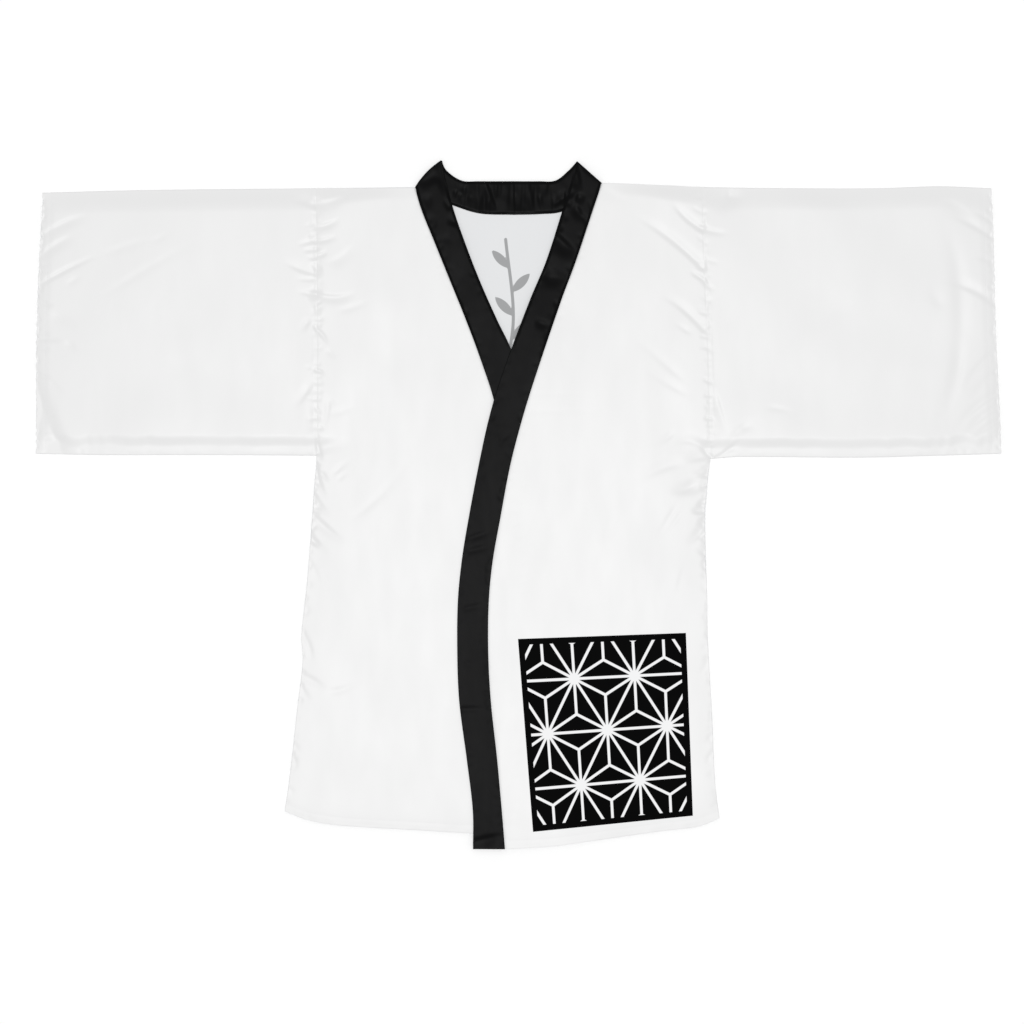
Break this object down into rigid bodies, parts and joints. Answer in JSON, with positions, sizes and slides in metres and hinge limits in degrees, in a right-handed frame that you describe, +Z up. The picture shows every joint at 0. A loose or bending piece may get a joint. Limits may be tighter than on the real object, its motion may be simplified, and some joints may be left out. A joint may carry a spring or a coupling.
{
  "type": "kimono robe",
  "caption": "Open-front satin kimono robe with wide straight sleeves and a contrasting collar band, laid out flat with one front over the other.",
  "frame": {"origin": "on the surface that the robe lies on, under the middle of its outline", "axes": "+X towards the wearer's left sleeve, +Y towards the neck, +Z up out of the robe's front"},
  "size_m": [1.499, 1.0689, 0.0088],
  "materials": {
    "white_satin": "smooth white satin",
    "black_satin": "smooth black satin"
  },
  "bodies": {
    "root": {"back_panel": "white_satin", "front_right": "white_satin", "front_left": "white_satin", "sleeve_right": "white_satin", "sleeve_left": "white_satin", "collar_right": "black_satin", "collar_left": "black_satin"}
  },
  "joints": []
}
